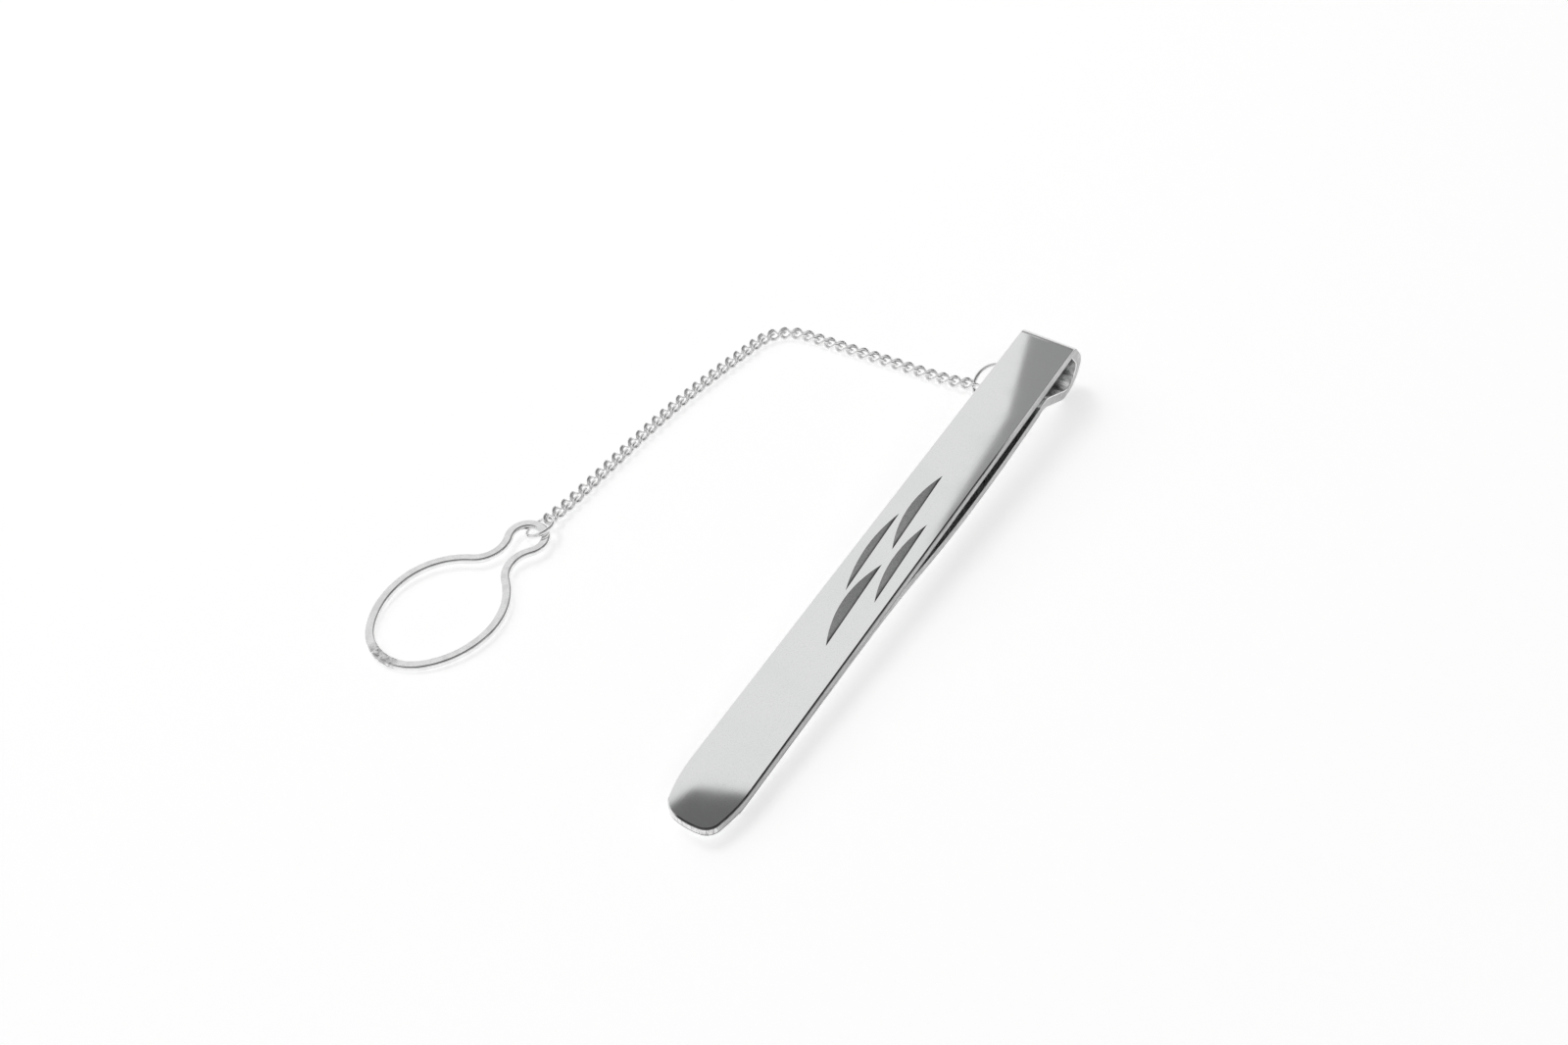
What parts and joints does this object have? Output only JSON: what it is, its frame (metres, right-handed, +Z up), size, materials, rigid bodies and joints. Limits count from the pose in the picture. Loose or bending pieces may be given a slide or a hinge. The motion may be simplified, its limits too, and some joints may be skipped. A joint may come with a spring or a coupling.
{
  "type": "tie clip with chain",
  "caption": "Folded-strip tie clip in polished silver with engraved strokes; a jump ring and curb chain tie it to a wire loop that goes over a shirt button.",
  "frame": {"origin": "on the table, under the middle of the clip (bar, bend and leaf); the chain and loop lie to +Y", "axes": "+X along the bar from its tip to the bend, +Y to the chain side, +Z up from the table"},
  "size_m": [0.0667, 0.04, 0.0064],
  "materials": {
    "strip": "polished silver with fine wear",
    "wire": "bright silver wire"
  },
  "bodies": {
    "clip": {"back_leaf": "strip", "spring_bend": "strip"},
    "bar": {"front_bar": "strip"},
    "clip_ring": {"clip_ring": "wire"},
    "chain_link_01": {"chain_link_01": "wire"},
    "chain_link_02": {"chain_link_02": "wire"},
    "chain_link_03": {"chain_link_03": "wire"},
    "chain_link_04": {"chain_link_04": "wire"},
    "chain_link_05": {"chain_link_05": "wire"},
    "chain_link_06": {"chain_link_06": "wire"},
    "chain_link_07": {"chain_link_07": "wire"},
    "chain_link_08": {"chain_link_08": "wire"},
    "chain_link_09": {"chain_link_09": "wire"},
    "chain_link_10": {"chain_link_10": "wire"},
    "chain_link_11": {"chain_link_11": "wire"},
    "chain_link_12": {"chain_link_12": "wire"},
    "chain_link_13": {"chain_link_13": "wire"},
    "chain_link_14": {"chain_link_14": "wire"},
    "chain_link_15": {"chain_link_15": "wire"},
    "chain_link_16": {"chain_link_16": "wire"},
    "chain_link_17": {"chain_link_17": "wire"},
    "chain_link_18": {"chain_link_18": "wire"},
    "chain_link_19": {"chain_link_19": "wire"},
    "chain_link_20": {"chain_link_20": "wire"},
    "chain_link_21": {"chain_link_21": "wire"},
    "chain_link_22": {"chain_link_22": "wire"},
    "chain_link_23": {"chain_link_23": "wire"},
    "chain_link_24": {"chain_link_24": "wire"},
    "chain_link_25": {"chain_link_25": "wire"},
    "chain_link_26": {"chain_link_26": "wire"},
    "chain_link_27": {"chain_link_27": "wire"},
    "chain_link_28": {"chain_link_28": "wire"},
    "chain_link_29": {"chain_link_29": "wire"},
    "chain_link_30": {"chain_link_30": "wire"},
    "chain_link_31": {"chain_link_31": "wire"},
    "chain_link_32": {"chain_link_32": "wire"},
    "chain_link_33": {"chain_link_33": "wire"},
    "chain_link_34": {"chain_link_34": "wire"},
    "chain_link_35": {"chain_link_35": "wire"},
    "chain_link_36": {"chain_link_36": "wire"},
    "chain_link_37": {"chain_link_37": "wire"},
    "chain_link_38": {"chain_link_38": "wire"},
    "chain_link_39": {"chain_link_39": "wire"},
    "chain_link_40": {"chain_link_40": "wire"},
    "chain_link_41": {"chain_link_41": "wire"},
    "chain_link_42": {"chain_link_42": "wire"},
    "chain_link_43": {"chain_link_43": "wire"},
    "chain_link_44": {"chain_link_44": "wire"},
    "chain_link_45": {"chain_link_45": "wire"},
    "loop_ring": {"loop_ring": "wire"},
    "button_loop": {"button_loop": "wire"}
  },
  "joints": [
    {"name": "bar_flex", "type": "hinge", "parent": "clip", "child": "bar", "pos_m": [0.02986, 0, 0.00637], "axis": [0, 1, 0], "range_deg": [0, 7], "stiffness_Nm_per_rad": 1, "springref_deg": -5.73},
    {"name": "clip_ring_swing", "type": "hinge", "parent": "clip", "child": "clip_ring", "pos_m": [0.02712, 0.0014, 0.00202], "axis": [0, 0, 1], "range_deg": [-6, 6]},
    {"name": "chain_link_01_swing", "type": "hinge", "parent": "clip_ring", "child": "chain_link_01", "pos_m": [0.02607, 0.00562, 0.00085], "axis": [0, 0, -1], "range_deg": [-6, 6]},
    {"name": "chain_link_02_swing", "type": "hinge", "parent": "chain_link_01", "child": "chain_link_02", "pos_m": [0.02583, 0.00658, 0.00073], "axis": [0, 0, -1], "range_deg": [-10, 10]},
    {"name": "chain_link_03_swing", "type": "hinge", "parent": "chain_link_02", "child": "chain_link_03", "pos_m": [0.02558, 0.00785, 0.00062], "axis": [0, 0, 1], "range_deg": [-10, 10]},
    {"name": "chain_link_04_swing", "type": "hinge", "parent": "chain_link_03", "child": "chain_link_04", "pos_m": [0.02543, 0.00914, 0.00056], "axis": [0, 0, 1], "range_deg": [-10, 10]},
    {"name": "chain_link_05_swing", "type": "hinge", "parent": "chain_link_04", "child": "chain_link_05", "pos_m": [0.0253, 0.01044, 0.00054], "axis": [0, 0, -1], "range_deg": [-10, 10]},
    {"name": "chain_link_06_swing", "type": "hinge", "parent": "chain_link_05", "child": "chain_link_06", "pos_m": [0.02517, 0.01173, 0.00054], "axis": [0, 0, -1], "range_deg": [-10, 10]},
    {"name": "chain_link_07_swing", "type": "hinge", "parent": "chain_link_06", "child": "chain_link_07", "pos_m": [0.02503, 0.01302, 0.00054], "axis": [0, 0, 1], "range_deg": [-10, 10]},
    {"name": "chain_link_08_swing", "type": "hinge", "parent": "chain_link_07", "child": "chain_link_08", "pos_m": [0.0249, 0.01432, 0.00054], "axis": [0, 0, 1], "range_deg": [-10, 10]},
    {"name": "chain_link_09_swing", "type": "hinge", "parent": "chain_link_08", "child": "chain_link_09", "pos_m": [0.02477, 0.01561, 0.00054], "axis": [0, 0, -1], "range_deg": [-10, 10]},
    {"name": "chain_link_10_swing", "type": "hinge", "parent": "chain_link_09", "child": "chain_link_10", "pos_m": [0.02464, 0.0169, 0.00054], "axis": [0, 0, -1], "range_deg": [-10, 10]},
    {"name": "chain_link_11_swing", "type": "hinge", "parent": "chain_link_10", "child": "chain_link_11", "pos_m": [0.0245, 0.0182, 0.00054], "axis": [0, 0, 1], "range_deg": [-10, 10]},
    {"name": "chain_link_12_swing", "type": "hinge", "parent": "chain_link_11", "child": "chain_link_12", "pos_m": [0.02437, 0.01949, 0.00054], "axis": [0, 0, 1], "range_deg": [-10, 10]},
    {"name": "chain_link_13_swing", "type": "hinge", "parent": "chain_link_12", "child": "chain_link_13", "pos_m": [0.02424, 0.02078, 0.00054], "axis": [0, 0, -1], "range_deg": [-10, 10]},
    {"name": "chain_link_14_swing", "type": "hinge", "parent": "chain_link_13", "child": "chain_link_14", "pos_m": [0.02411, 0.02208, 0.00054], "axis": [0, 0, -1], "range_deg": [-10, 10]},
    {"name": "chain_link_15_swing", "type": "hinge", "parent": "chain_link_14", "child": "chain_link_15", "pos_m": [0.02397, 0.02337, 0.00054], "axis": [0, 0, 1], "range_deg": [-10, 10]},
    {"name": "chain_link_16_swing", "type": "hinge", "parent": "chain_link_15", "child": "chain_link_16", "pos_m": [0.02384, 0.02466, 0.00054], "axis": [0, 0, 1], "range_deg": [-10, 10]},
    {"name": "chain_link_17_swing", "type": "hinge", "parent": "chain_link_16", "child": "chain_link_17", "pos_m": [0.02352, 0.02592, 0.00054], "axis": [0, 0, -1], "range_deg": [-10, 10]},
    {"name": "chain_link_18_swing", "type": "hinge", "parent": "chain_link_17", "child": "chain_link_18", "pos_m": [0.02283, 0.02702, 0.00054], "axis": [0, 0, -1], "range_deg": [-10, 10]},
    {"name": "chain_link_19_swing", "type": "hinge", "parent": "chain_link_18", "child": "chain_link_19", "pos_m": [0.02183, 0.02786, 0.00054], "axis": [0, 0, 1], "range_deg": [-10, 10]},
    {"name": "chain_link_20_swing", "type": "hinge", "parent": "chain_link_19", "child": "chain_link_20", "pos_m": [0.02063, 0.02835, 0.00054], "axis": [0, 0, 1], "range_deg": [-10, 10]},
    {"name": "chain_link_21_swing", "type": "hinge", "parent": "chain_link_20", "child": "chain_link_21", "pos_m": [0.01934, 0.02854, 0.00054], "axis": [0, 0, -1], "range_deg": [-10, 10]},
    {"name": "chain_link_22_swing", "type": "hinge", "parent": "chain_link_21", "child": "chain_link_22", "pos_m": [0.01805, 0.0287, 0.00054], "axis": [0, 0, -1], "range_deg": [-10, 10]},
    {"name": "chain_link_23_swing", "type": "hinge", "parent": "chain_link_22", "child": "chain_link_23", "pos_m": [0.01676, 0.02887, 0.00054], "axis": [0, 0, 1], "range_deg": [-10, 10]},
    {"name": "chain_link_24_swing", "type": "hinge", "parent": "chain_link_23", "child": "chain_link_24", "pos_m": [0.01547, 0.02904, 0.00054], "axis": [0, 0, 1], "range_deg": [-10, 10]},
    {"name": "chain_link_25_swing", "type": "hinge", "parent": "chain_link_24", "child": "chain_link_25", "pos_m": [0.01418, 0.0292, 0.00054], "axis": [0, 0, -1], "range_deg": [-10, 10]},
    {"name": "chain_link_26_swing", "type": "hinge", "parent": "chain_link_25", "child": "chain_link_26", "pos_m": [0.01289, 0.02935, 0.00054], "axis": [0, 0, -1], "range_deg": [-10, 10]},
    {"name": "chain_link_27_swing", "type": "hinge", "parent": "chain_link_26", "child": "chain_link_27", "pos_m": [0.0116, 0.02948, 0.00054], "axis": [0, 0, 1], "range_deg": [-10, 10]},
    {"name": "chain_link_28_swing", "type": "hinge", "parent": "chain_link_27", "child": "chain_link_28", "pos_m": [0.0103, 0.0296, 0.00054], "axis": [0, 0, 1], "range_deg": [-10, 10]},
    {"name": "chain_link_29_swing", "type": "hinge", "parent": "chain_link_28", "child": "chain_link_29", "pos_m": [0.00901, 0.02971, 0.00054], "axis": [0, 0, -1], "range_deg": [-10, 10]},
    {"name": "chain_link_30_swing", "type": "hinge", "parent": "chain_link_29", "child": "chain_link_30", "pos_m": [0.00771, 0.0298, 0.00054], "axis": [0, 0, -1], "range_deg": [-10, 10]},
    {"name": "chain_link_31_swing", "type": "hinge", "parent": "chain_link_30", "child": "chain_link_31", "pos_m": [0.00641, 0.02988, 0.00054], "axis": [0, 0, 1], "range_deg": [-10, 10]},
    {"name": "chain_link_32_swing", "type": "hinge", "parent": "chain_link_31", "child": "chain_link_32", "pos_m": [0.00511, 0.02994, 0.00054], "axis": [0, 0, 1], "range_deg": [-10, 10]},
    {"name": "chain_link_33_swing", "type": "hinge", "parent": "chain_link_32", "child": "chain_link_33", "pos_m": [0.00381, 0.02998, 0.00054], "axis": [0, 0, -1], "range_deg": [-10, 10]},
    {"name": "chain_link_34_swing", "type": "hinge", "parent": "chain_link_33", "child": "chain_link_34", "pos_m": [0.00252, 0.03001, 0.00054], "axis": [0, 0, -1], "range_deg": [-10, 10]},
    {"name": "chain_link_35_swing", "type": "hinge", "parent": "chain_link_34", "child": "chain_link_35", "pos_m": [0.00122, 0.03003, 0.00054], "axis": [0, 0, 1], "range_deg": [-10, 10]},
    {"name": "chain_link_36_swing", "type": "hinge", "parent": "chain_link_35", "child": "chain_link_36", "pos_m": [-0.00008, 0.03003, 0.00054], "axis": [0, 0, 1], "range_deg": [-10, 10]},
    {"name": "chain_link_37_swing", "type": "hinge", "parent": "chain_link_36", "child": "chain_link_37", "pos_m": [-0.00138, 0.03004, 0.00054], "axis": [0, 0, -1], "range_deg": [-10, 10]},
    {"name": "chain_link_38_swing", "type": "hinge", "parent": "chain_link_37", "child": "chain_link_38", "pos_m": [-0.00268, 0.03004, 0.00054], "axis": [0, 0, -1], "range_deg": [-10, 10]},
    {"name": "chain_link_39_swing", "type": "hinge", "parent": "chain_link_38", "child": "chain_link_39", "pos_m": [-0.00398, 0.03005, 0.00054], "axis": [0, 0, 1], "range_deg": [-10, 10]},
    {"name": "chain_link_40_swing", "type": "hinge", "parent": "chain_link_39", "child": "chain_link_40", "pos_m": [-0.00528, 0.03006, 0.00054], "axis": [0, 0, 1], "range_deg": [-10, 10]},
    {"name": "chain_link_41_swing", "type": "hinge", "parent": "chain_link_40", "child": "chain_link_41", "pos_m": [-0.00658, 0.03006, 0.00054], "axis": [0, 0, -1], "range_deg": [-10, 10]},
    {"name": "chain_link_42_swing", "type": "hinge", "parent": "chain_link_41", "child": "chain_link_42", "pos_m": [-0.00788, 0.03007, 0.00054], "axis": [0, 0, -1], "range_deg": [-10, 10]},
    {"name": "chain_link_43_swing", "type": "hinge", "parent": "chain_link_42", "child": "chain_link_43", "pos_m": [-0.00918, 0.03007, 0.00056], "axis": [0, 0, 1], "range_deg": [-10, 10]},
    {"name": "chain_link_44_swing", "type": "hinge", "parent": "chain_link_43", "child": "chain_link_44", "pos_m": [-0.01048, 0.03008, 0.00064], "axis": [0, 0, 1], "range_deg": [-10, 10]},
    {"name": "chain_link_45_swing", "type": "hinge", "parent": "chain_link_44", "child": "chain_link_45", "pos_m": [-0.01178, 0.03008, 0.00077], "axis": [0, 0, -1], "range_deg": [-10, 10]},
    {"name": "loop_ring_swing", "type": "hinge", "parent": "chain_link_45", "child": "loop_ring", "pos_m": [-0.01277, 0.03009, 0.00091], "axis": [0, 0, 1], "range_deg": [-6, 6]},
    {"name": "button_loop_swing", "type": "hinge", "parent": "loop_ring", "child": "button_loop", "pos_m": [-0.01557, 0.0301, 0.00091], "axis": [0, 0, 1], "range_deg": [-20, 20]}
  ]
}
